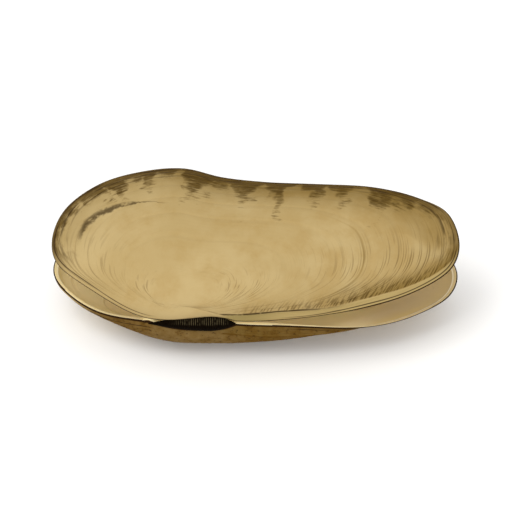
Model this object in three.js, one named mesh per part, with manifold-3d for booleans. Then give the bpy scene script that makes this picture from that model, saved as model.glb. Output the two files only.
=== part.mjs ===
// A gaping freshwater bivalve shell: two hollow valves that a dark ligament holds together at the hinge.
// Millimetres, +Z up. The hinge runs along X with the blunt front end of the shell at -X, and the
// valves open towards +Y. The shell lies on the crown of its lower, left valve.
import * as THREE from 'three';
import { mergeVertices } from 'three/addons/utils/BufferGeometryUtils.js';
import Module from 'manifold-3d';

// The edge of one valve seen square on, from the front end over the belly side to the rear end and
// back along the hinge: x along the shell's length, y away from the hinge line.
const edgePoints = [
  [0, 26.2],
  [3.5, 36.5],
  [13.7, 45.2],
  [27, 49.5],
  [38.7, 50.3],
  [50.2, 47.2],
  [62.9, 45.5],
  [95.6, 43.3],
  [108.5, 39.6],
  [116.8, 34.5],
  [120, 24.3],
  [117.5, 15.6],
  [107.7, 7.8],
  [92.5, 2],
  [61.4, -1],
  [48.3, -0.6],
  [32.8, -0.7],
  [18.6, 4.3],
  [2, 17.9],
];

// One valve
const valveDepth = 14; // height of the crown above the edge
const crown = new THREE.Vector2(46, 17); // where the valve is deepest
const beak = new THREE.Vector2(36, 0.8); // the oldest spot, where the growth rings start
const flankPower = 2.1; // how flat the crown is
const flankMean = 0.62; // how full the flanks are: below 1 bulges
const flankSwing = 0.28; // fuller on the hinge side, leaner on the belly side
const rearLean = 0.62; // leaner still towards the rear end
const rearTurn = THREE.MathUtils.degToRad(-8); // where that lies, seen from the crown
const rearSpread = THREE.MathUtils.degToRad(14);
const crownWall = 2.6;
const edgeWall = 1.4;
const hingePlate = 4.2; // what the rim gains under the beak
const hingePlateTurn = THREE.MathUtils.degToRad(-92); // where it lies, seen from the crown
const hingePlateSpread = THREE.MathUtils.degToRad(40);
const growthRests = [0.4, 0.56, 0.69, 0.8, 0.89, 0.95]; // 0 at the beak, 1 at the edge
const restDepth = 0.25;
const restWidth = 0.012;
const restFadeStart = 8; // rests fade out where the edge comes this close to the beak
const restFadeEnd = 30;

// Where the hinge edges bow apart, in front of the ligament and behind it
const hingeBows = [
  { x: 12, halfWidth: 10.5, height: 2.4 },
  { x: 97.5, halfWidth: 22.5, height: 2.9 },
];
const hingeSideEnd = 12; // edges this near to the hinge line bow in full
const bellySideStart = 26; // and from here on not at all
const hingeReach = 4; // higher keeps the bows and the ligament groove nearer to the edge

// Hinge teeth: one on the right valve that points between two on the left
const toothHeight = 2;
const toothFoot = 2;
const toothTip = 0.9;
const toothSides = 7;
const toothRoot = 2.4; // how deep it sits in the hinge plate
const toothInset = 2.7; // distance from the hinge line
const rightTeeth = [34.5];
const leftTeeth = [29.5, 39.5];

// The two valves together
const hingeSetback = 1.2; // the hinge axis lies this far outside the hinge line
const hingeGap = 0.8;
const gape = THREE.MathUtils.degToRad(25);
const rearGape = THREE.MathUtils.degToRad(1.6); // the rear ends stand a little further apart
const restTilt = THREE.MathUtils.degToRad(10); // how the shell leans back when it lies free
const wornDepth = 0.35; // how much the crown of the lower valve has worn off flat where it lies

// Ligament, and the groove in the hinge edges that it fills
const ligamentFront = 28.7;
const ligamentRear = 54.3;
const ligamentFullest = 46.5;
const ligamentFrontTaper = 1.7; // higher keeps it full nearer to its end
const ligamentRearTaper = 2;
const ligamentGroove = 2.3; // how far each valve's edge stands back for it at its fullest
const ligamentBulge = 1.6; // how far it swells out from the hinge axis
const ligamentRootDepth = 1.5; // how far its root reaches in between the valves
const ligamentClearance = 0.3;
const ligamentTip = 0.04; // how much of its section is left at either end
const ligamentRidges = 20;
const ligamentRidgeDepth = 0.08;

// Facets
const stepsAround = 72;
const beakRings = [0, 0.08, 0.18, 0.29];
const innerRings = [1, 0.93, 0.82, 0.66, 0.48, 0.3, 0.15, 0];
const edgeSampleCount = 1440;
const ligamentCapSteps = 3;
const roundOff = 1e-4;

const wasm = await Module();
wasm.setup();

const edgeCurve = new THREE.CatmullRomCurve3(
  edgePoints.map(([x, y]) => new THREE.Vector3(x, y, 0)),
  true,
);
edgeCurve.arcLengthDivisions = edgeSampleCount;

// Distance from the crown to the edge, by direction.
const reaches = edgeCurve
  .getSpacedPoints(edgeSampleCount)
  .map((point) => {
    const away = new THREE.Vector2(point.x, point.y).sub(crown);
    return { angle: Math.atan2(away.y, away.x), reach: away.length() };
  })
  .sort((a, b) => a.angle - b.angle);

function edgeReach(angle) {
  const next = reaches.findIndex((entry) => entry.angle > angle);
  if (next <= 0) return reaches[0].reach;
  const before = reaches[next - 1];
  const after = reaches[next];
  const share = (angle - before.angle) / (after.angle - before.angle);
  return THREE.MathUtils.lerp(before.reach, after.reach, share);
}

// Height of the valve over its edge plane at a spot in plan.
function swell(away, angle) {
  const nearness = Math.min(1, away.length() / edgeReach(angle));
  const toRear = (angle - rearTurn) / rearSpread;
  const fullness = flankMean + flankSwing * Math.sin(angle) + rearLean * Math.exp(-toRear * toRear);
  return valveDepth * (1 - nearness ** flankPower) ** fullness;
}

// Shallow grooves where the shell rested between two years of growth.
function restGroove(grown, rayLength) {
  const fade = THREE.MathUtils.smoothstep(rayLength, restFadeStart, restFadeEnd);
  return growthRests.reduce(
    (depth, rest) => depth + restDepth * fade * Math.exp(-(((grown - rest) / restWidth) ** 2)),
    0,
  );
}

// Share of its full section that the ligament has at x: a long taper in front, a short one behind.
function ligamentShare(x) {
  if (x <= ligamentFront || x >= ligamentRear) return 0;
  if (x < ligamentFullest) {
    return 1 - ((ligamentFullest - x) / (ligamentFullest - ligamentFront)) ** ligamentFrontTaper;
  }
  return 1 - ((x - ligamentFullest) / (ligamentRear - ligamentFullest)) ** ligamentRearTaper;
}

// How far the edge stands out from its plane: grooved for the ligament and bowed before and behind it.
function edgeSetBack(rim) {
  const onHingeSide = 1 - THREE.MathUtils.smoothstep(rim.y, hingeSideEnd, bellySideStart);
  const bowed = hingeBows.reduce(
    (sum, bow) => sum + bow.height * Math.exp(-(((rim.x - bow.x) / bow.halfWidth) ** 2)),
    0,
  );
  return onHingeSide * (bowed + ligamentGroove * ligamentShare(rim.x));
}

// A spot on the valve: turn 0..1 runs round the edge, grown 0..1 runs from the beak to the edge.
function valvePoint(turn, grown, inside) {
  const edge = edgeCurve.getPointAt(turn);
  const rim = new THREE.Vector2(edge.x, edge.y);
  const plan = beak.clone().lerp(rim, grown);
  const away = plan.clone().sub(crown);
  const angle = Math.atan2(away.y, away.x);
  const height = grown < 1 ? swell(away, angle) : 0;
  const setBack = edgeSetBack(rim) * grown ** hingeReach;
  if (!inside) {
    const rest = grown < 1 ? restGroove(grown, rim.distanceTo(beak)) : 0;
    return new THREE.Vector3(plan.x, plan.y, height - rest + setBack);
  }
  const toHinge = (angle - hingePlateTurn) / hingePlateSpread;
  const rimWidth = edgeWall + hingePlate * Math.exp(-toHinge * toHinge);
  const inner = crown.clone().addScaledVector(away, 1 - rimWidth / edgeReach(angle));
  return new THREE.Vector3(inner.x, inner.y, height * (1 - crownWall / valveDepth) + setBack);
}

// Rings of facets on the outside: one in each groove, one on the crest after it and, in the wider
// years, one between.
function outerRings() {
  const crest = 2 * restWidth;
  const rings = [...beakRings];
  growthRests.forEach((rest, i) => {
    const next = growthRests[i + 1] ?? 1;
    rings.push(rest, rest + crest);
    if (next - rest > 3 * crest) rings.push((rest + next) / 2);
  });
  return [...rings, 1];
}

function reshape(geometry, move) {
  const spots = geometry.attributes.position;
  const spot = new THREE.Vector3();
  for (let i = 0; i < spots.count; i += 1) {
    spot.fromBufferAttribute(spots, i);
    const moved = move(spot);
    spots.setXYZ(i, moved.x, moved.y, moved.z);
  }
  return geometry;
}

function toSolid(geometry) {
  const bare = geometry.clone();
  bare.deleteAttribute('normal');
  bare.deleteAttribute('uv');
  const merged = mergeVertices(bare, roundOff);
  return new wasm.Manifold(
    new wasm.Mesh({
      numProp: 3,
      vertProperties: merged.attributes.position.array,
      triVerts: new Uint32Array(merged.index.array),
    }),
  );
}

function toGeometry(solid) {
  const mesh = solid.getMesh();
  const geometry = new THREE.BufferGeometry();
  geometry.setAttribute('position', new THREE.BufferAttribute(mesh.vertProperties, 3));
  geometry.setIndex(new THREE.BufferAttribute(mesh.triVerts, 1));
  geometry.computeVertexNormals();
  return geometry;
}

// How far round a turned blank a spot lies, 0..1.
function turnOf(spot) {
  return THREE.MathUtils.euclideanModulo(Math.atan2(spot.x, spot.z) / (2 * Math.PI), 1);
}

// A turned blank, closed at both poles, whose rings are laid on the outside and inside of the valve.
function valveWall() {
  const outside = outerRings().map((grown) => new THREE.Vector2(grown, 1));
  const inside = innerRings.map((grown) => new THREE.Vector2(grown, -1));
  const blank = new THREE.LatheGeometry([...outside, ...inside], stepsAround);
  return reshape(blank, (spot) => {
    const radius = Math.hypot(spot.x, spot.z);
    const grown = radius > 1 - roundOff ? 1 : radius;
    return valvePoint(turnOf(spot), grown, spot.y < 0);
  });
}

function hingeTooth(x) {
  const tooth = new THREE.CylinderGeometry(toothFoot, toothTip, toothHeight + toothRoot, toothSides);
  tooth.rotateX(Math.PI / 2);
  return tooth.translate(x, toothInset, (toothRoot - toothHeight) / 2);
}

function valveGeometry(teeth) {
  const whole = teeth.reduce((solid, x) => solid.add(toSolid(hingeTooth(x))), toSolid(valveWall()));
  return toGeometry(whole).translate(-beak.x, hingeSetback, hingeGap / 2);
}

// The section of the ligament where its share is full, depth towards the belly against width: a round
// swelling over a root that widens with the gape.
function ligamentSection() {
  const slope = Math.tan(gape / 2);
  const seatWidth = hingeGap / 2 + ligamentGroove - ligamentClearance;
  const rootWidth = seatWidth + ligamentRootDepth * slope;
  const section = new THREE.Path();
  section.moveTo(ligamentRootDepth, rootWidth);
  section.absellipse(0, 0, ligamentBulge, seatWidth, Math.PI / 2, (3 * Math.PI) / 2, false);
  section.lineTo(ligamentRootDepth, -rootWidth);
  return section.getPoints(ligamentCapSteps);
}

// A bar along X with that section and a ridge at every other station.
function ligamentGeometry() {
  const section = ligamentSection();
  const stations = 2 * ligamentRidges;
  const blank = new THREE.CylinderGeometry(1, 1, stations, section.length, stations);
  return reshape(blank, (spot) => {
    const station = Math.round(spot.y + stations / 2);
    const x = THREE.MathUtils.lerp(ligamentFront, ligamentRear, station / stations);
    const side = Math.round(turnOf(spot) * section.length) % section.length;
    const onEndFace = Math.hypot(spot.x, spot.z) < roundOff;
    const { x: depth, y: width } = onEndFace ? new THREE.Vector2() : section[side];
    const share = THREE.MathUtils.lerp(ligamentTip, 1, ligamentShare(x));
    const ridge = station % 2 ? 1 : 1 - ligamentRidgeDepth;
    const out = depth < 0 ? depth * ridge : depth;
    return new THREE.Vector3(x - beak.x, out * share, width * share);
  });
}

const rightValve = new THREE.Mesh(
  valveGeometry(rightTeeth),
  new THREE.MeshStandardMaterial({ color: 0xc8ad75, roughness: 0.6, metalness: 0 }),
);
rightValve.name = 'right_valve';
const leftValve = new THREE.Mesh(
  valveGeometry(leftTeeth),
  new THREE.MeshStandardMaterial({ color: 0xb69a62, roughness: 0.6, metalness: 0 }),
);
leftValve.name = 'left_valve';
const ligament = new THREE.Mesh(
  ligamentGeometry(),
  new THREE.MeshStandardMaterial({ color: 0x2a1c0c, roughness: 0.45, metalness: 0 }),
);
ligament.name = 'ligament';

// The left valve mirrors the right one across the gape.
const upperHalf = new THREE.Group();
upperHalf.rotation.set(gape / 2, -rearGape / 2, 0);
upperHalf.add(rightValve);
const lowerHalf = new THREE.Group();
lowerHalf.rotation.set(-gape / 2, rearGape / 2, 0);
leftValve.scale.z = -1;
lowerHalf.add(leftValve);

const shell = new THREE.Group();
shell.rotation.x = restTilt;
shell.add(upperHalf, lowerHalf, ligament);
const part = new THREE.Group();
part.add(shell);

// Wears the lowest part of a mesh flat.
function wearFlat(mesh) {
  part.updateMatrixWorld(true);
  const floor = new THREE.Box3().setFromObject(mesh, true).min.z + wornDepth;
  const plane = new THREE.Plane(new THREE.Vector3(0, 0, 1), -floor);
  plane.applyMatrix4(mesh.matrixWorld.clone().invert());
  mesh.geometry = toGeometry(toSolid(mesh.geometry).trimByPlane(plane.normal.toArray(), -plane.constant));
}
wearFlat(leftValve);

// The origin is on the floor under the middle of the shell.
const bounds = new THREE.Box3().setFromObject(part, true);
const middle = bounds.getCenter(new THREE.Vector3());
shell.position.set(-middle.x, -middle.y, -bounds.min.z);

export default part;
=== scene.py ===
# A gaping river mussel shell: two valves with growth lines and a mottled belly edge, tied by a dark ligament.
import math
from bisect import bisect_right

import bmesh
import bpy
from mathutils import Color, Matrix, Vector, geometry, kdtree, noise


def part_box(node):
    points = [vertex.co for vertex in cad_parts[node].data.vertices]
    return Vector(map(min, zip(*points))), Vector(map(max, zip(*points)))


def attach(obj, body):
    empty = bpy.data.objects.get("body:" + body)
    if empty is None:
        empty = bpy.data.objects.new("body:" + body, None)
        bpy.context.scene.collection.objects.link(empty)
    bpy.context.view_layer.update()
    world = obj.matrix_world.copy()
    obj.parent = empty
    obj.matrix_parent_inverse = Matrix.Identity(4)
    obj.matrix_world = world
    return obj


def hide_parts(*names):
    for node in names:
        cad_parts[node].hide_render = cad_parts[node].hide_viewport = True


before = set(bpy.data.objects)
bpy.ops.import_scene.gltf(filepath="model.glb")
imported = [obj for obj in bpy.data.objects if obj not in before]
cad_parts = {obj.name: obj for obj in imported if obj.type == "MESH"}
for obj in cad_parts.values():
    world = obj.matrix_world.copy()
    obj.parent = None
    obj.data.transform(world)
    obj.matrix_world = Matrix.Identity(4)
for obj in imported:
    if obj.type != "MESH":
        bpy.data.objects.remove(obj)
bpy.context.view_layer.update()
mm = 0.001
mergeDistance = 1e-6
print("frame loaded:", ", ".join(sorted(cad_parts)))


def smoothstep(value, start, end):
    share = min(1, max(0, (value - start) / (end - start)))
    return share * share * (3 - 2 * share)


def bell(value):
    return math.exp(-value * value)


# value at x from rising pairs of x and value
def lookUp(table, x):
    k = bisect_right(table, x, key=lambda pair: pair[0])
    if k == 0 or k == len(table):
        return table[0][1] if k == 0 else table[-1][1]
    (a, low), (b, high) = table[k - 1], table[k]
    return low + (high - low) * (x - a) / (b - a)


# The form of one valve in its own frame, in millimetres: x from the front end, y from the hinge line
# towards the belly, z outwards from the plane of the edge.
form = {
    "edge": [
        (0, 26.2), (3.5, 36.5), (13.7, 45.2), (27, 49.5), (38.7, 50.3), (50.2, 47.2), (62.9, 45.5),
        (95.6, 43.3), (108.5, 39.6), (116.8, 34.5), (120, 24.3), (117.5, 15.6), (107.7, 7.8), (92.5, 2),
        (61.4, -1), (48.3, -0.6), (32.8, -0.7), (18.6, 4.3), (2, 17.9),
    ],
    "depth": 14,
    "crown": Vector((46, 17)),
    "beak": Vector((36, 0.8)),
    "flankPower": 2.1,
    "flankMean": 0.62,
    "flankSwing": 0.28,
    "rearLean": 0.62,
    "rearTurn": math.radians(-8),
    "rearSpread": math.radians(14),
    "bows": [(12, 10.5, 2.4), (97.5, 22.5, 2.9)],  # where the hinge edges part: place, half width, height
    "hingeSideEnd": 12,
    "bellySideStart": 26,
    "hingeReach": 4,
    "crownWall": 2.6,
    "edgeWall": 1.4,
    "lipRound": 0.25,  # how far the lip swells out between outside and inside
    "hingePlate": 4.2,
    "hingePlateTurn": math.radians(-92),
    "hingePlateSpread": math.radians(40),
    "stepsBetween": 80,  # of the curve between two points of the edge
    "stepsAround": 400,
    "fineSteps": 8,  # of the edge line to each step of the mesh
    "outerRings": 150,
    "lipRings": 12,
    "innerRings": 44,
    "skinOverLip": 0.3,  # how far the outer skin is drawn over the lip
    "rounding": 1e-5,  # of the blank's edge, which lies at 1
}

# hinge teeth on the inside: one on the right valve that points between two on the left
teeth = {"right": [34.5], "left": [29.5, 39.5], "inset": 2.7, "foot": 2.2, "height": 2}

# how the valves are set together
pose = {
    "hingeSetback": 1.2,
    "hingeGap": 0.8,
    "gape": math.radians(25),
    "rearGape": math.radians(1.6),
    "restTilt": math.radians(10),
}

# the ligament and the groove that it fills
ligament = {
    "front": 28.7,
    "rear": 54.3,
    "fullest": 46.5,
    "frontTaper": 1.7,
    "rearTaper": 2,
    "groove": 2.3,
    "bulge": 1.7,
    "rootDepth": 1.5,
    "overlap": 0.1,  # how far it grows into the valves
    "tip": 0.04,
    "striations": 41,
    "striationDepth": 0.05,
    "striationWander": 0.6,
    "striationTwist": 2,
    "stations": 328,
    "sides": 40,
}


# closed curve through given points, tightest where they lie close
def smoothLoop(points, stepsBetween):
    loop = [Vector(point) for point in points]
    line = []
    for i, start in enumerate(loop):
        before, end, after = loop[i - 1], loop[(i + 1) % len(loop)], loop[(i + 2) % len(loop)]
        a, b, c = ((q - p).length ** 0.5 for p, q in ((before, start), (start, end), (end, after)))
        atStart = (2 * a * a + 3 * a * b + b * b) * start
        atEnd = (2 * c * c + 3 * c * b + b * b) * end
        handleOut = (a * a * end - b * b * before + atStart) / (3 * a * (a + b))
        handleIn = (c * c * start - b * b * after + atEnd) / (3 * c * (c + b))
        line += geometry.interpolate_bezier(start, handleOut, handleIn, end, stepsBetween + 1)[:-1]
    return line


# spots at equal distances along a closed line, and that distance
def evenSteps(line, count):
    marks = [0]
    for spot, after in zip(line, line[1:] + line[:1]):
        marks.append(marks[-1] + (after - spot).length)
    steps = []
    for i in range(count):
        target = marks[-1] * i / count
        k = bisect_right(marks, target) - 1
        share = (target - marks[k]) / (marks[k + 1] - marks[k])
        steps.append(line[k].lerp(line[(k + 1) % len(line)], share))
    return steps, marks[-1] / count


edgeCurve = smoothLoop(form["edge"], form["stepsBetween"])
edgeLine, edgeStep = evenSteps(edgeCurve, form["stepsAround"] * form["fineSteps"])
edgeSteps = edgeLine[::form["fineSteps"]]
spokes = [spot - form["crown"] for spot in edgeLine]
reaches = sorted((math.atan2(spoke.y, spoke.x), spoke.length) for spoke in spokes)
rearTip = max(range(len(edgeLine)), key=lambda i: edgeLine[i].x)
hingeEdge = sorted((spot.x, spot.y) for spot in edgeLine[rearTip:])
edgeTree = kdtree.KDTree(len(edgeLine))
for i, spot in enumerate(edgeLine):
    edgeTree.insert(spot.to_3d(), i)
edgeTree.balance()


# the edge nearest to a spot in plan: its place, and how far along the edge it lies
def nearestEdge(plan):
    i = edgeTree.find(plan.to_3d())[1]
    found = edgeLine[i]
    along = i * edgeStep
    if i > rearTip and found.x < form["beak"].x:
        along -= len(edgeLine) * edgeStep
    return found, along


# share of its full section that the ligament has: a long taper in front, a short one behind
def ligamentShare(x):
    front, rear, fullest = ligament["front"], ligament["rear"], ligament["fullest"]
    if x <= front or x >= rear:
        return 0
    if x < fullest:
        return 1 - ((fullest - x) / (fullest - front)) ** ligament["frontTaper"]
    return 1 - ((x - fullest) / (rear - fullest)) ** ligament["rearTaper"]


# how far the edge stands out from its plane: grooved for the ligament and bowed before and behind it
def edgeSetBack(rim):
    onHingeSide = 1 - smoothstep(rim.y, form["hingeSideEnd"], form["bellySideStart"])
    bowed = sum(height * bell((rim.x - x) / halfWidth) for x, halfWidth, height in form["bows"])
    return onHingeSide * (bowed + ligament["groove"] * ligamentShare(rim.x))


# height of the outside at a spot in plan, its direction from the crown, and how far the edge lies that way
def domeAt(plan):
    away = plan - form["crown"]
    angle = math.atan2(away.y, away.x)
    reach = lookUp(reaches, angle)
    nearness = min(1, away.length / reach)
    fullness = form["flankMean"] + form["flankSwing"] * math.sin(angle)
    fullness += form["rearLean"] * bell((angle - form["rearTurn"]) / form["rearSpread"])
    return form["depth"] * (1 - nearness ** form["flankPower"]) ** fullness, angle, reach


# width of the lip between outside and inside, widest at the hinge plate
def lipWidth(angle):
    toHinge = (angle - form["hingePlateTurn"]) / form["hingePlateSpread"]
    return form["edgeWall"] + form["hingePlate"] * bell(toHinge)


# a spot on the valve: level runs from 1 on the outside over the lip to -1 on the inside
def valveSpot(rim, grown, level):
    plan = form["beak"].lerp(rim, grown)
    away = plan - form["crown"]
    height, angle, reach = domeAt(plan)
    height = height if grown < 1 else 0
    setBack = edgeSetBack(rim) * grown ** form["hingeReach"]
    inner = form["crown"] + away * (1 - lipWidth(angle) / reach)
    outside = Vector((plan.x, plan.y, height + setBack))
    inside = Vector((inner.x, inner.y, height * (1 - form["crownWall"] / form["depth"]) + setBack))
    across = (1 - level) / 2
    spot = outside.lerp(inside, across)
    spot.z -= form["lipRound"] * 2 * math.sqrt(across * (1 - across))
    return spot


# brown mottling along the belly edge: place along the shell, half width, and how far it hangs down
mottling = {
    "patches": [
        (3.5, 2.6, 7), (9, 3, 9), (12, 2.6, 12), (17.5, 3, 15), (22, 3, 9), (27, 2.8, 14), (33, 5, 9),
        (44.5, 5, 19), (51, 4, 11), (58, 3.6, 18), (66.5, 4, 14), (67.5, 1.4, 22), (78, 3.6, 15), (86, 3, 15),
        (98, 4, 16), (105, 4, 12), (114, 6, 8),
    ],
    "seam": 4.5,  # what hangs down between the patches
    "raggedSize": 4,
    "raggedSideways": 3,
    "raggedDown": 0.35,
    "downSlice": Vector((0, 0, 9)),
}


def mottleReach(rim, plan):
    spot = plan.to_3d() / mottling["raggedSize"]
    at = rim.x + mottling["raggedSideways"] * noise.noise(spot)
    hanging = max(reach * bell(((at - x) / halfWidth) ** 2) for x, halfWidth, reach in mottling["patches"])
    longer = 1 + mottling["raggedDown"] * noise.noise(spot + mottling["downSlice"])
    return max(mottling["seam"], hanging * longer)


# relief on the outside of a valve
relief = {
    "rests": [0.4, 0.56, 0.69, 0.8, 0.89, 0.95],  # 0 at the beak, 1 at the edge
    "restDepth": 0.16,
    "restWidth": 0.012,
    "ripples": 40,
    "rippleHeight": 0.03,
    "rippleWander": 2.2,
    "wanderSize": 20,
    "swellHeight": 0.2,
    "swellSize": 15,
    "fadeStart": 8,  # rays from the beak shorter than this stay smooth
    "fadeEnd": 30,
    "edgeFade": 1.5,
    "ridge": [
        (48, 0.15), (52, 0.2), (56, 0.28), (61, 0.5), (66, 0.7), (72, 0.8), (78, 0.9), (84, 1.2), (91, 2.1),
        (98, 2.6), (105, 2.4), (111, 2.2), (118, 2.4),
    ],  # over the hinge edge
    "ridgeHeight": 0.3,
    "ridgeWidth": 0.8,
    "ridgeStart": 50,
    "ridgeFull": 66,
}


# distance over the line of the rear ridge
def overRidge(plan):
    ridge = Vector((plan.x, lookUp(hingeEdge, plan.x) + lookUp(relief["ridge"], plan.x)))
    rise = domeAt(plan)[0] - domeAt(ridge)[0]
    return math.copysign(math.hypot(plan.y - ridge.y, rise), plan.y - ridge.y)


# how far the outside stands out at a spot: yearly rests, ripples between them, slow swells and the rear ridge
def reliefHeight(spot, grown, rayLength, fromEdge):
    fade = smoothstep(rayLength, relief["fadeStart"], relief["fadeEnd"])
    rests = sum(bell((grown - rest) / relief["restWidth"]) for rest in relief["rests"])
    wander = relief["rippleWander"] * noise.noise(spot / relief["wanderSize"])
    ripple = math.sin(math.tau * relief["ripples"] * grown + wander)
    lines = relief["rippleHeight"] * ripple - relief["restDepth"] * rests
    swells = relief["swellHeight"] * noise.noise(spot / relief["swellSize"])
    onRidge = smoothstep(spot.x, relief["ridgeStart"], relief["ridgeFull"])
    ridge = relief["ridgeHeight"] * onRidge * bell(overRidge(spot.xy) / relief["ridgeWidth"])
    return smoothstep(fromEdge, 0, relief["edgeFade"]) * (fade * (lines + swells) + ridge)


# a line of spots turned once round an axis, closed at both poles
def turnBlank(bm, spots, axis, steps):
    verts = [bm.verts.new(spot) for spot in spots]
    edges = [bm.edges.new(pair) for pair in zip(verts, verts[1:])]
    bmesh.ops.spin(
        bm, geom=verts + edges, cent=(0, 0, 0), axis=axis, angle=math.tau, steps=steps, use_merge=True
    )
    bmesh.ops.remove_doubles(bm, verts=bm.verts, dist=mergeDistance)


def toObject(bm, name, materials):
    mesh = bpy.data.meshes.new(name)
    bm.to_mesh(mesh)
    bm.free()
    mesh.shade_smooth()
    for material in materials:
        mesh.materials.append(material)
    piece = bpy.data.objects.new(name, mesh)
    bpy.context.scene.collection.objects.link(piece)
    return piece


def addFromFrame(piece, node):
    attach(piece, "root")
    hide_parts(node)
    print(piece.name + ":", len(piece.data.polygons), "faces")


# from the valve's own frame to the shell's, in metres: side is 1 for the upper valve, -1 for the lower
def valvePlace(side):
    onHinge = Matrix.Translation((-form["beak"].x, pose["hingeSetback"], pose["hingeGap"] / 2))
    mirror = Matrix.Diagonal((1, 1, side, 1))
    opened = Matrix.Rotation(side * pose["gape"] / 2, 4, "X")
    openedRear = Matrix.Rotation(-side * pose["rearGape"] / 2, 4, "Y")
    lean = Matrix.Rotation(pose["restTilt"], 4, "X")
    return Matrix.Scale(mm, 4) @ lean @ (opened @ openedRear) @ mirror @ onHinge


# the step of the edge that a spot of the turned blank belongs to
def rimOf(blank):
    turn = math.atan2(blank.y, blank.x) / math.tau
    return edgeSteps[round(turn * form["stepsAround"]) % form["stepsAround"]]


# one valve in the shell's frame, with what its finish needs to know stored on the vertices
def valveMesh(side, toothPlaces):
    bm = bmesh.new()
    spotLayer = bm.verts.layers.float_vector.new("spot")
    growthLayer = bm.verts.layers.float_vector.new("growth")
    flankLayer = bm.verts.layers.float_vector.new("flank")
    outer = [(i / form["outerRings"], 0, 1) for i in range(form["outerRings"] + 1)]
    lip = [(1, 0, 1 - 2 * i / form["lipRings"]) for i in range(1, form["lipRings"])]
    inner = [(1 - i / form["innerRings"], 0, -1) for i in range(form["innerRings"] + 1)]
    turnBlank(bm, outer + lip + inner, (0, 0, 1), form["stepsAround"])
    for face in bm.faces:
        middle = face.calc_center_median()
        away = rimOf(middle) - form["crown"]
        overLip = lipWidth(math.atan2(away.y, away.x)) * (1 - middle.z) / 2
        face.material_index = 0 if overLip < form["skinOverLip"] else 1
    raised = {}
    for vert in bm.verts:
        rim = rimOf(vert.co)
        grown = math.hypot(vert.co.x, vert.co.y)
        grown = 1 if grown > 1 - form["rounding"] else grown
        level = vert.co.z
        spot = valveSpot(rim, grown, level)
        if level < 1:
            for x in toothPlaces:
                away = math.hypot(spot.x - x, spot.y - teeth["inset"]) / teeth["foot"]
                spot.z -= (spot.z + teeth["height"]) * bell(away ** 2)
        plan = form["beak"].lerp(rim, grown)
        found, along = nearestEdge(plan)
        fromEdge = math.hypot((plan - found).length, spot.z - edgeSetBack(found))
        belly = smoothstep(found.y, form["hingeSideEnd"], form["bellySideStart"])
        vert.co = spot
        vert[spotLayer] = spot
        vert[growthLayer] = (grown, fromEdge, mottleReach(found, plan))
        vert[flankLayer] = (overRidge(plan), along, belly)
        if level == 1 and grown < 1:
            raised[vert] = reliefHeight(spot, grown, (rim - form["beak"]).length, fromEdge)
    bmesh.ops.transform(bm, matrix=valvePlace(side), verts=bm.verts)
    bmesh.ops.recalc_face_normals(bm, faces=bm.faces)
    bm.normal_update()
    for vert, height in raised.items():
        vert.co += vert.normal * mm * height
    return bm


def boxCentre(bm):
    low = Vector([min(vert.co[k] for vert in bm.verts) for k in range(3)])
    high = Vector([max(vert.co[k] for vert in bm.verts) for k in range(3)])
    return (low + high) / 2


# the ligament in the shell's frame: a turned bar whose section is a round swelling over a spreading root
def ligamentMesh():
    bm = bmesh.new()
    barLayer = bm.verts.layers.float_vector.new("bar")
    stations = ligament["stations"]
    line = [(0, 0, 0)] + [(i / stations, 1, 0) for i in range(stations + 1)] + [(1, 0, 0)]
    turnBlank(bm, line, (1, 0, 0), ligament["sides"])
    slope = math.tan(pose["gape"] / 2)
    seatWidth = pose["hingeGap"] / 2 + ligament["groove"] + ligament["overlap"]
    for vert in bm.verts:
        along = vert.co.x
        x = ligament["front"] + (ligament["rear"] - ligament["front"]) * along
        share = ligament["tip"] + (1 - ligament["tip"]) * ligamentShare(x)
        out, wide = vert.co.y, vert.co.z
        depth = -out * (ligament["bulge"] if out > 0 else ligament["rootDepth"])
        width = wide * (seatWidth + max(0, depth) * slope)
        wander = ligament["striationWander"] * noise.noise((x, wide * ligament["striationTwist"], 0))
        ridge = math.sin(math.tau * ligament["striations"] * along + wander)
        swell = 1 + ligament["striationDepth"] * ridge * max(0, out)
        vert[barLayer] = (x, wide, ridge)
        vert.co = (x - form["beak"].x, depth * share * swell, width * share)
    place = Matrix.Scale(mm, 4) @ Matrix.Rotation(pose["restTilt"], 4, "X")
    bmesh.ops.transform(bm, matrix=place, verts=bm.verts)
    bmesh.ops.recalc_face_normals(bm, faces=bm.faces)
    return bm


# A socket that can be used in plain arithmetic.
class Wire:
    def __init__(self, finish, socket):
        self.finish = finish
        self.socket = socket

    def maths(self, operation, first, second):
        return self.finish.node("ShaderNodeMath", {"operation": operation}, {0: first, 1: second})

    def __add__(self, other):
        return self.maths("ADD", self, other)

    def __radd__(self, other):
        return self.maths("ADD", other, self)

    def __sub__(self, other):
        return self.maths("SUBTRACT", self, other)

    def __rsub__(self, other):
        return self.maths("SUBTRACT", other, self)

    def __mul__(self, other):
        return self.maths("MULTIPLY", self, other)

    def __rmul__(self, other):
        return self.maths("MULTIPLY", other, self)

    def __truediv__(self, other):
        return self.maths("DIVIDE", self, other)

    def __rtruediv__(self, other):
        return self.maths("DIVIDE", other, self)


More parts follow.
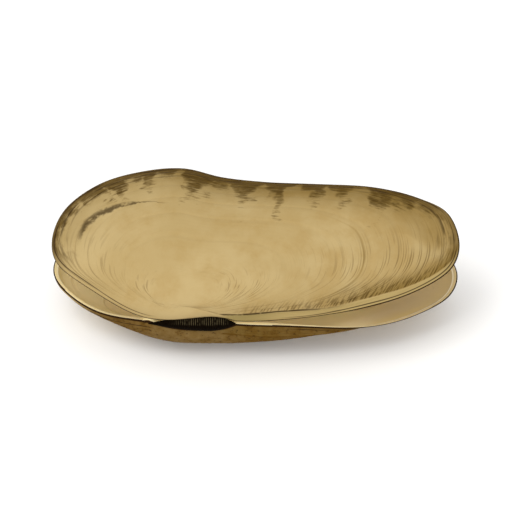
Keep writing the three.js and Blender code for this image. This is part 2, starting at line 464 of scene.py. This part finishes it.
# One material, with a single way of adding nodes to it.
class Finish:
    def __init__(self, name, **constants):
        self.material = bpy.data.materials.new(name)
        self.material.use_nodes = True
        self.tree = self.material.node_tree
        self.shader = self.tree.nodes["Principled BSDF"]
        self.colour = None
        self.shade(**constants)

    def feed(self, socket, value):
        if isinstance(value, Wire):
            self.tree.links.new(value.socket, socket)
        else:
            socket.default_value = value

    def node(self, kind, settings=None, sockets=None, out=0):
        made = self.tree.nodes.new(kind)
        for name, value in (settings or {}).items():
            setattr(made, name, value)
        for key, value in (sockets or {}).items():
            self.feed(made.inputs[key], value)
        return Wire(self, made.outputs[out])

    def shade(self, **sockets):
        for name, value in sockets.items():
            self.feed(self.shader.inputs[name.replace("_", " ")], value)

    def stored(self, name):
        return self.split(self.node("ShaderNodeAttribute", {"attribute_name": name}, out="Vector"))

    def split(self, vector):
        first = self.node("ShaderNodeSeparateXYZ", sockets={0: vector})
        return [Wire(self, socket) for socket in first.socket.node.outputs]

    def join(self, x, y, z):
        return self.node("ShaderNodeCombineXYZ", sockets={0: x, 1: y, 2: z})

    def grain(self, vector, size=1, detail=2, roughness=0.5):
        sockets = {"Vector": vector, "Scale": 1 / size, "Detail": detail, "Roughness": roughness}
        return self.node("ShaderNodeTexNoise", sockets=sockets, out="Fac")

    def ramp(self, value, start, end):
        settings = {"interpolation_type": "SMOOTHSTEP", "clamp": True}
        return self.node("ShaderNodeMapRange", settings, {"Value": value, "From Min": start, "From Max": end})

    def mix(self, factor, first, second):
        return self.node("ShaderNodeMix", {"data_type": "RGBA"}, {0: factor, 6: first, 7: second}, out=2)

    # a tone over the colour so far
    def lay(self, share, tone):
        self.colour = self.mix(share, self.colour, tone)

    # a grain as a swing about nothing
    def swing(self, grain, size=1):
        return (grain - 0.5) * size

    def atLeast(self, least, share):
        return least + share * (1 - least)

    def most(self, first, second):
        return self.node("ShaderNodeMath", {"operation": "MAXIMUM"}, {0: first, 1: second})

    def wave(self, turns):
        return self.node("ShaderNodeMath", {"operation": "SINE"}, {0: turns * math.tau})

    def bump(self, height, distance):
        return self.node("ShaderNodeBump", sockets={"Height": height, "Distance": distance})


def paint(red, green, blue):
    return (*Color((red / 255, green / 255, blue / 255)).from_srgb_to_scene_linear(), 1)


# tones and grains that the outside's markings share; a pair is where a ramp starts and where it is full
skin = {
    "ochre": paint(166, 143, 96),
    "pale": paint(174, 152, 106),
    "warm": paint(158, 131, 80),
    "olive": paint(112, 87, 33),
    "line": paint(68, 48, 18),
    "umber": paint(84, 63, 22),
    "brown": paint(46, 30, 7),
    "edge": paint(40, 24, 10),
    "gloss": 0.015,
    "washSize": 26,
    "patchSize": 7,
    "blotSize": 3.2,
    "paleRange": (0.4, 0.65),
    "warmRange": (0.45, 0.95),
    "warmPerMm": 0.002,  # warmer towards the rear end
    "warmShare": 0.75,
    "ridgeFoot": (0, 0.6),
    "roughness": 0.6,
    "roughPatches": 0.2,
    "bumpLines": -0.5,
    "bumpPatches": 0.3,
    "bumpBlots": 0.15,
    "bumpDepth": 0.0001,
}


# A valve's outside in plain washes of tone, with the places on it that the markings go by.
class ValveSkin(Finish):
    def __init__(self, name):
        super().__init__(name, Specular_IOR_Level=skin["gloss"])
        self.x, self.y, z = self.stored("spot")
        self.grown, self.fromEdge, self.hanging = self.stored("growth")
        self.fromRidge, self.along, self.belly = self.stored("flank")
        self.place = self.join(self.x, self.y, z)
        self.wash = self.grain(self.place, skin["washSize"], detail=3)
        self.patchy = self.grain(self.place, skin["patchSize"], detail=4, roughness=0.6)
        self.blot = self.grain(self.place, skin["blotSize"], detail=4, roughness=0.65)
        self.overSlope = self.ramp(self.fromRidge, *skin["ridgeFoot"])
        self.colour = self.mix(self.ramp(self.wash, *skin["paleRange"]), skin["ochre"], skin["pale"])
        warmth = self.patchy + self.x * skin["warmPerMm"]
        self.lay(self.ramp(warmth, *skin["warmRange"]) * skin["warmShare"], skin["warm"])


# growth lines, unevenly spaced: towards the rear ridge, at the front and round the beak
growthLines = {
    "rearCells": 190,  # noise cells from the beak to the edge
    "frontCells": 68.4,
    "rearTurns": 6,  # and round the beak
    "frontTurns": 4,
    "beakBlend": 3,
    "strokeRange": (0.55, 0.66),
    "rearX": (60, 96),
    "rearOverRidge": (25, 1),
    "frontX": (28, 8),
    "frontY": (32, 10),
    "frontShare": 0.7,
    "beakOuter": (0.42, 0.3),
    "beakInner": (0.14, 0.22),
    "beakY": (12, 4),
    "beakShare": 0.7,
    "share": 0.55,
}


# gives the strokes, where they show and where they show at the front
def drawGrowthLines(f):
    marks = growthLines
    beak = form["beak"]
    away = f.join(f.x - beak.x, f.y - beak.y, 0)
    rayX, rayY = f.split(f.node("ShaderNodeVectorMath", {"operation": "NORMALIZE"}, {0: away}))[:2]
    grains = []
    for cells, turns in (("rearCells", "rearTurns"), ("frontCells", "frontTurns")):
        spread = f.join(f.grown * marks[cells], rayX * marks[turns], rayY * marks[turns])
        grains.append(f.grain(spread, detail=1))
    rearGrain, frontGrain = grains
    toRear = f.ramp(f.x, beak.x - marks["beakBlend"], beak.x + marks["beakBlend"])
    strokes = f.ramp(frontGrain + (rearGrain - frontGrain) * toRear, *marks["strokeRange"])
    onRear = f.ramp(f.x, *marks["rearX"]) * f.ramp(f.fromRidge, *marks["rearOverRidge"]) * f.overSlope
    onFront = f.ramp(f.x, *marks["frontX"]) * f.ramp(f.y, *marks["frontY"]) * marks["frontShare"]
    ring = f.ramp(f.grown, *marks["beakOuter"]) * f.ramp(f.grown, *marks["beakInner"])
    onBeak = ring * f.ramp(f.y, *marks["beakY"]) * marks["beakShare"]
    lined = f.most(onRear, f.most(onFront, onBeak)) * marks["share"]
    f.lay(strokes * lined, skin["line"])
    return strokes, lined, onFront


# one olive rest line on the rear half
restLine = {
    "grown": 0.665,
    "width": 0.004,
    "wander": 0.02,
    "softness": (1.5, 0),
    "frontX": (74, 84),
    "bellyY": (30, 18),
    "share": 0.4,
}


def drawRestLine(f):
    marks = restLine
    off = (f.grown - marks["grown"] + f.swing(f.wash, marks["wander"])) / marks["width"]
    shown = f.ramp(f.x, *marks["frontX"]) * f.ramp(f.y, *marks["bellyY"]) * f.overSlope
    f.lay(f.ramp(off * off, *marks["softness"]) * shown * marks["share"], skin["olive"])


# the rear ridge: painted shade and leaning hatching over it, a dark line along it and a paler slope below
ridgeMarks = {
    "slope": paint(160, 139, 90),
    "slopeFront": paint(136, 120, 73),
    "linesPerMm": 1.5,
    "lean": 0.7,  # how far the hatching leans to the rear
    "breaksPerMm": 0.3,
    "slice": 5,  # third place in the noise, so that no two markings share a pattern
    "hatchRange": (0.46, 0.6),
    "bandX": (72, 98),
    "bandHeight": (6.5, 0),
    "bandHingeSide": (1, 0.7),
    "bandShade": 0.7,
    "bandHatch": 0.85,
    "shadeX": (46, 60),
    "shadeHeight": (10, 0),
    "shadeShare": 0.16,
    "tuftFront": (52, 62),
    "tuftRear": (100, 84),
    "tuftHeight": (4.5, 0.2),
    "tuftHatch": 0.6,
    "slopeTop": (0.3, -0.3),
    "slopeX": (48, 54),
    "slopeFrontX": (70, 56),
    "slopeShare": 0.85,
    "lineBelow": (-0.45, -0.1),
    "lineAbove": (0.45, 0.1),
    "lineFront": (48, 51),
    "lineRear": (92, 70),
    "lineBreaks": (0.25, 0.45),
    "lineShare": 0.9,
}


def drawRidge(f):
    marks = ridgeMarks
    leaning = (f.x - f.fromRidge * marks["lean"]) * marks["linesPerMm"]
    hatching = f.grain(f.join(leaning, f.fromRidge * marks["breaksPerMm"], marks["slice"]))
    hatched = f.ramp(hatching, *marks["hatchRange"])
    rear = f.ramp(f.x, *marks["bandX"]) * f.ramp(f.belly, *marks["bandHingeSide"])
    # painted shade where the flank turns down over the ridge: an olive band with dark hatching in it
    band = f.ramp(f.fromRidge, *marks["bandHeight"]) * f.overSlope * rear
    f.lay(band * marks["bandShade"], skin["olive"])
    f.lay(band * hatched * marks["bandHatch"], skin["line"])
    # a fainter olive painted shade reaching about 10 mm up from the ridge
    shade = f.ramp(f.fromRidge, *marks["shadeHeight"]) * f.overSlope * f.ramp(f.x, *marks["shadeX"])
    f.lay(shade * marks["shadeShare"], skin["olive"])
    tufted = f.ramp(f.x, *marks["tuftFront"]) * f.ramp(f.x, *marks["tuftRear"])
    tufts = f.ramp(f.fromRidge, *marks["tuftHeight"]) * f.overSlope * tufted
    f.lay(tufts * hatched * marks["tuftHatch"], skin["line"])
    slope = f.ramp(f.fromRidge, *marks["slopeTop"]) * f.ramp(f.x, *marks["slopeX"])
    slopeTone = f.mix(f.ramp(f.x, *marks["slopeFrontX"]), marks["slope"], marks["slopeFront"])
    f.lay(slope * marks["slopeShare"], slopeTone)
    line = f.ramp(f.fromRidge, *marks["lineBelow"]) * f.ramp(f.fromRidge, *marks["lineAbove"])
    line *= f.ramp(f.x, *marks["lineFront"]) * f.ramp(f.x, *marks["lineRear"])
    f.lay(line * f.ramp(f.blot, *marks["lineBreaks"]) * marks["lineShare"], skin["edge"])


# mottling that hangs down from the belly edge in short strokes, over soft painted shade in olive along the
# belly edge
mottleMarks = {
    "strokesAlong": 0.25,  # noise cells to the millimetre
    "strokesDown": 1.1,
    "strokeSwing": 1.5,
    "hatchAlong": 0.16,
    "hatchDown": 2.2,
    "hatchSlice": 3,
    "hatchRange": (0.47, 0.6),
    "softRange": (-0.12, 0.6),
    "rearX": (120, 102),
    "rearLeast": 0.5,
    "umberShare": 0.88,
    "brownShare": 0.55,
    "shadeReach": (21, 5),
    "shadeFront": (26, 48),
    "shadeRear": (122, 98),
    "shadeLeast": 0.35,
    "shadeShare": 0.5,
    "shadePatches": 0.6,
}


def drawMottling(f):
    marks = mottleMarks
    downward = f.join(f.along * marks["strokesAlong"], f.fromEdge * marks["strokesDown"], 0)
    stroke = f.grain(downward, detail=3, roughness=0.6)
    sideways = f.join(f.along * marks["hatchAlong"], f.fromEdge * marks["hatchDown"], marks["hatchSlice"])
    hatch = f.ramp(f.grain(sideways), *marks["hatchRange"])
    ragged = 1 - f.fromEdge / f.hanging + f.swing(stroke, marks["strokeSwing"]) + f.swing(f.blot)
    fading = f.atLeast(marks["rearLeast"], f.ramp(f.x, *marks["rearX"]))
    soft = f.ramp(ragged, *marks["softRange"]) * f.belly * fading
    middle = f.ramp(f.x, *marks["shadeFront"]) * f.ramp(f.x, *marks["shadeRear"])
    # painted shade: olive along the belly edge, strongest in the middle of the shell
    shade = f.ramp(f.fromEdge, *marks["shadeReach"]) * f.belly * f.atLeast(marks["shadeLeast"], middle)
    f.lay(shade * (marks["shadeShare"] + f.patchy * marks["shadePatches"]), skin["olive"])
    f.lay(soft * marks["umberShare"], skin["umber"])
    f.lay(soft * hatch * marks["brownShare"], skin["brown"])


# crowded lines along the belly edge
bellyLines = {
    "linesPerMm": 0.38,
    "lineRange": (0.2, 0.9),
    "breaksAlong": 0.09,
    "breaksDown": 0.6,
    "slice": 7,
    "breakRange": (0.38, 0.55),
    "reach": (10, 3),
    "share": 0.75,
}


def drawBellyLines(f):
    marks = bellyLines
    lines = f.ramp(f.wave(f.fromEdge * marks["linesPerMm"] + f.wash), *marks["lineRange"])
    breaks = f.join(f.along * marks["breaksAlong"], f.fromEdge * marks["breaksDown"], marks["slice"])
    broken = f.ramp(f.grain(breaks), *marks["breakRange"])
    f.lay(lines * broken * f.ramp(f.fromEdge, *marks["reach"]) * f.belly * marks["share"], skin["edge"])


# a stain that follows an old edge at the front
stain = {
    "grown": 0.832,
    "grownPerMm": 0.0056,  # how fast it falls behind towards the rear
    "width": 0.005,
    "swelling": 0.02,
    "swellingX": (34, 8),
    "wander": 0.06,
    "softness": (1.6, 0),
    "rearX": (36, 27),
    "frontX": (7, 10),
    "bellyY": (20, 25),
    "blotRange": (0.3, 0.55),
    "share": 0.8,
}


def drawStain(f):
    marks = stain
    line = marks["grown"] - f.x * marks["grownPerMm"]
    width = f.ramp(f.x, *marks["swellingX"]) * marks["swelling"] + marks["width"]
    off = (f.grown - line + f.swing(f.blot, marks["wander"])) / width
    shown = f.ramp(f.x, *marks["rearX"]) * f.ramp(f.x, *marks["frontX"]) * f.ramp(f.y, *marks["bellyY"])
    blotted = f.ramp(f.blot, *marks["blotRange"]) * marks["share"]
    f.lay(f.ramp(off * off, *marks["softness"]) * shown * blotted, skin["brown"])


# painted shade: dark brown on the hinge side of the lower valve, which faces down into shadow, with blots,
# specks and lines at the front
hingeShadeMarks = {
    "tone": paint(88, 61, 15),
    "hingeY": (17, 5),
    "least": 0.7,
    "blots": 0.6,
    "paleFront": (24, 34),  # a little paler under the ligament
    "paleRear": (60, 48),
    "paleShare": 0.08,
    "share": 0.9,
    "blotRange": (0.55, 0.7),
    "blotShare": 0.5,
    "speckSize": 0.9,
    "speckRange": (0.58, 0.68),
    "speckShare": 0.6,
}


def drawHingeShade(f, frontStrokes):
    marks = hingeShadeMarks
    pale = f.ramp(f.x, *marks["paleFront"]) * f.ramp(f.x, *marks["paleRear"]) * marks["paleShare"]
    # the painted shade, strongest towards the hinge edge
    dark = f.ramp(f.y, *marks["hingeY"]) * (marks["least"] + f.blot * marks["blots"]) * (1 - pale)
    f.lay(dark * marks["share"], marks["tone"])
    f.lay(f.ramp(f.blot, *marks["blotRange"]) * dark * marks["blotShare"], skin["line"])
    speck = f.grain(f.place, marks["speckSize"], roughness=0.6)
    f.lay(f.ramp(speck, *marks["speckRange"]) * dark * marks["speckShare"], skin["edge"])
    f.lay(frontStrokes * dark, skin["edge"])


# a dark edge, with a second line beside it on the hinge side
rimMarks = {
    "width": (0.5, 0.25),
    "shift": 0.9,  # how much further in the second line lies near the ligament
    "shiftX": (72, 50),
    "secondInner": (0.75, 0.95),
    "secondOuter": (1.3, 1.1),
    "hingeSide": (1, 0.6),
    "frontX": (32, 26),
    "rearX": (66, 74),
    "secondShare": 0.8,
}


def drawRim(f):
    marks = rimMarks
    beside = f.fromEdge - f.ramp(f.x, *marks["shiftX"]) * marks["shift"]
    second = f.ramp(beside, *marks["secondInner"]) * f.ramp(beside, *marks["secondOuter"])
    second *= f.ramp(f.belly, *marks["hingeSide"])
    ends = f.most(f.ramp(f.x, *marks["frontX"]), f.ramp(f.x, *marks["rearX"]))
    f.lay(f.most(f.ramp(f.fromEdge, *marks["width"]), second * ends * marks["secondShare"]), skin["edge"])


def outsideFinish(name, paintedHingeShade):
    f = ValveSkin(name)
    strokes, lined, onFront = drawGrowthLines(f)
    drawRestLine(f)
    drawRidge(f)
    drawMottling(f)
    drawBellyLines(f)
    drawStain(f)
    # painted shade on the hinge side, given only to the lower valve
    if paintedHingeShade:
        drawHingeShade(f, strokes * onFront)
    drawRim(f)
    height = strokes * lined * skin["bumpLines"] + f.patchy * skin["bumpPatches"] + f.blot * skin["bumpBlots"]
    rough = skin["roughness"] + f.patchy * skin["roughPatches"]
    f.shade(Base_Color=f.colour, Roughness=rough, Normal=f.bump(height, skin["bumpDepth"]))
    return f.material


# the inside: cream mother-of-pearl with scars where muscles held, and a line along the edge; painted light on
# the hinge plate, which the upper valve shades, and a pale line on the lip that is partly a painted highlight
pearl = {
    "cream": paint(214, 194, 138),
    "tan": paint(200, 178, 118),
    "rose": paint(214, 188, 134),
    "green": paint(204, 190, 132),
    "plate": paint(252, 234, 180),
    "lip": paint(244, 232, 196),
    "scar": paint(202, 172, 112),
    "rear": paint(180, 152, 96),
    "washSize": 18,
    "cloudSize": 9,
    "roseRange": (0.35, 0.7),
    "roseShare": 0.6,
    "greenRange": (0.45, 0.75),
    "greenShare": 0.5,
    "scars": [(20, 19, 5, 6), (91, 20, 8, 6)],  # middle and half sizes
    "scarWander": 0.5,
    "scarEdge": (1.05, 0.85),
    "scarShare": 0.35,
    "lineOuter": (5.2, 5.8),
    "lineInner": (7, 6.3),
    "lineShare": 0.25,
    "tanReach": (6, 0.5),
    "tanShare": 0.8,
    "rearX": (84, 104),
    "rearShare": 0.7,
    "plateReach": (9, 1),
    "plateHingeSide": (0.6, 0),
    "plateFront": (26, 32),
    "plateRear": (97, 80),
    "lipWidth": (0.3, 0.05),
    "bumpClouds": 0.5,
    "bumpScars": 0.5,
    "bumpLine": 0.4,
    "bumpDepth": 0.0003,
}


def insideFinish(name):
    f = Finish(name, Roughness=0.35, Specular_IOR_Level=0.2, Coat_Weight=0.08, Coat_Roughness=0.25)
    x, y = f.stored("spot")[:2]
    fromEdge = f.stored("growth")[1]
    belly = f.stored("flank")[2]
    flat = f.join(x, y, 0)
    wash = f.grain(flat, pearl["washSize"], detail=3)
    cloud = f.grain(flat, pearl["cloudSize"], detail=3)
    f.colour = f.mix(f.ramp(wash, *pearl["roseRange"]) * pearl["roseShare"], pearl["cream"], pearl["rose"])
    f.lay(f.ramp(cloud, *pearl["greenRange"]) * pearl["greenShare"], pearl["green"])
    scars = 0
    for scarX, scarY, long, high in pearl["scars"]:
        offX = (x - scarX) / long
        offY = (y - scarY) / high
        off = offX * offX + offY * offY + f.swing(cloud, pearl["scarWander"])
        scars = scars + f.ramp(off, *pearl["scarEdge"])
    line = f.ramp(fromEdge, *pearl["lineOuter"]) * f.ramp(fromEdge, *pearl["lineInner"]) * belly
    f.lay(f.most(scars * pearl["scarShare"], line * pearl["lineShare"]), pearl["scar"])
    f.lay(f.ramp(fromEdge, *pearl["tanReach"]) * belly * pearl["tanShare"], pearl["tan"])
    f.lay(f.ramp(x, *pearl["rearX"]) * pearl["rearShare"], pearl["rear"])
    # painted light: the hinge plate lies in the upper valve's shade and is laid near white to make up for it
    plate = f.ramp(fromEdge, *pearl["plateReach"]) * f.ramp(belly, *pearl["plateHingeSide"])
    f.lay(plate * f.ramp(x, *pearl["plateFront"]) * f.ramp(x, *pearl["plateRear"]), pearl["plate"])
    # a pale line on the lip: partly its own paler colour, partly a painted highlight
    f.lay(f.ramp(fromEdge, *pearl["lipWidth"]), pearl["lip"])
    height = cloud * pearl["bumpClouds"] - scars * pearl["bumpScars"] - line * pearl["bumpLine"]
    f.shade(Base_Color=f.colour, Normal=f.bump(height, pearl["bumpDepth"]))
    return f.material


# the ligament: nearly black horn, with painted highlights on the crests of its striations along the upper
# side
horn = {
    "dark": paint(8, 4, 1),
    "brown": paint(18, 11, 4),
    "crest": paint(98, 88, 62),
    "gloss": 0.01,
    "specklesAlong": 3,
    "specklesAcross": 2,
    "brownRange": (0.4, 0.7),
    "crestRange": (0.5, 0.95),
    "crestBreaks": (0.3, 0.55),
    "crestUpper": (0.25, 0.55),
    "crestFront": (34, 41),
    "crestRear": (53, 50),
    "crestShare": 0.8,
    "roughness": 0.5,
    "roughSpeckles": 0.25,
    "bumpRidges": 0.3,
    "bumpDepth": 0.0001,
}


def ligamentFinish():
    f = Finish("hornyLigament", Specular_IOR_Level=horn["gloss"])
    x, wide, ridge = f.stored("bar")
    speckle = f.grain(f.join(x * horn["specklesAlong"], wide * horn["specklesAcross"], ridge), detail=3)
    f.colour = f.mix(f.ramp(speckle, *horn["brownRange"]), horn["dark"], horn["brown"])
    # painted highlights on the crests of the striations, on the upper side only
    upper = f.ramp(wide, *horn["crestUpper"])
    upper *= f.ramp(x, *horn["crestFront"]) * f.ramp(x, *horn["crestRear"])
    crests = f.ramp(ridge, *horn["crestRange"]) * f.ramp(speckle, *horn["crestBreaks"])
    f.lay(crests * upper * horn["crestShare"], horn["crest"])
    rough = horn["roughness"] + speckle * horn["roughSpeckles"]
    height = speckle + ridge * horn["bumpRidges"]
    f.shade(Base_Color=f.colour, Roughness=rough, Normal=f.bump(height, horn["bumpDepth"]))
    return f.material


inside = insideFinish("motherOfPearl")
rightMesh = valveMesh(1, teeth["right"])
rightLow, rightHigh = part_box("right_valve")
shift = Matrix.Translation((rightLow + rightHigh) / 2 - boxCentre(rightMesh))
bmesh.ops.transform(rightMesh, matrix=shift, verts=rightMesh.verts)
rightValve = toObject(rightMesh, "right_valve_shell", [outsideFinish("upperSkin", False), inside])
addFromFrame(rightValve, "right_valve")

leftMesh = valveMesh(-1, teeth["left"])
bmesh.ops.transform(leftMesh, matrix=shift, verts=leftMesh.verts)
for vert in leftMesh.verts:
    vert.co.z = max(0, vert.co.z)  # worn flat where it lies
leftValve = toObject(leftMesh, "left_valve_shell", [outsideFinish("lowerSkin", True), inside])
addFromFrame(leftValve, "left_valve")

hornMesh = ligamentMesh()
bmesh.ops.transform(hornMesh, matrix=shift, verts=hornMesh.verts)
hinge = toObject(hornMesh, "hinge_ligament", [ligamentFinish()])
addFromFrame(hinge, "ligament")


# pale floor, soft light from the upper left and a long lens at the drawing's angle
studio = {
    "floorSize": 6,
    "floorColour": (0.93, 0.925, 0.915, 1),
    "skyStrength": 0.95,
    "lights": [
        ("key", (-0.9, -0.5, 1.6), 1.2, 14),
        ("fill", (0.3, -1.9, 0.75), 1.2, 11),
    ],
    "lens": 250,
    "frameWidth": 151,  # millimetres across the picture at the shell
    "elevation": math.radians(39.6),
    "aim": Vector((0.16, -1.63, 21.27)),
}

floorMesh = bmesh.new()
bmesh.ops.create_grid(floorMesh, x_segments=1, y_segments=1, size=studio["floorSize"] / 2)
floorFinish = Finish("paleFloor", Base_Color=studio["floorColour"], Roughness=0.9)
floor = toObject(floorMesh, "floor", [floorFinish.material])

scene = bpy.context.scene
scene.view_settings.view_transform = "Standard"
sky = bpy.data.worlds.new("softSky")
sky.use_nodes = True
sky.node_tree.nodes["Background"].inputs["Color"].default_value = (1, 1, 1, 1)
sky.node_tree.nodes["Background"].inputs["Strength"].default_value = studio["skyStrength"]
scene.world = sky

for name, place, size, power in studio["lights"]:
    light = bpy.data.lights.new(name, "AREA")
    light.size = size
    light.energy = power
    lamp = bpy.data.objects.new(name, light)
    lamp.location = place
    lamp.rotation_euler = (-Vector(place)).to_track_quat("-Z", "Y").to_euler()
    scene.collection.objects.link(lamp)

lens = bpy.data.cameras.new("camera")
lens.lens = studio["lens"]
camera = bpy.data.objects.new("camera", lens)
back = Vector((0, -math.cos(studio["elevation"]), math.sin(studio["elevation"])))
distance = studio["frameWidth"] * mm * lens.lens / lens.sensor_width
camera.location = studio["aim"] * mm + back * distance
camera.rotation_euler = (-back).to_track_quat("-Z", "Y").to_euler()
scene.collection.objects.link(camera)
scene.camera = camera
print("studio: camera", round(distance, 3), "m away")
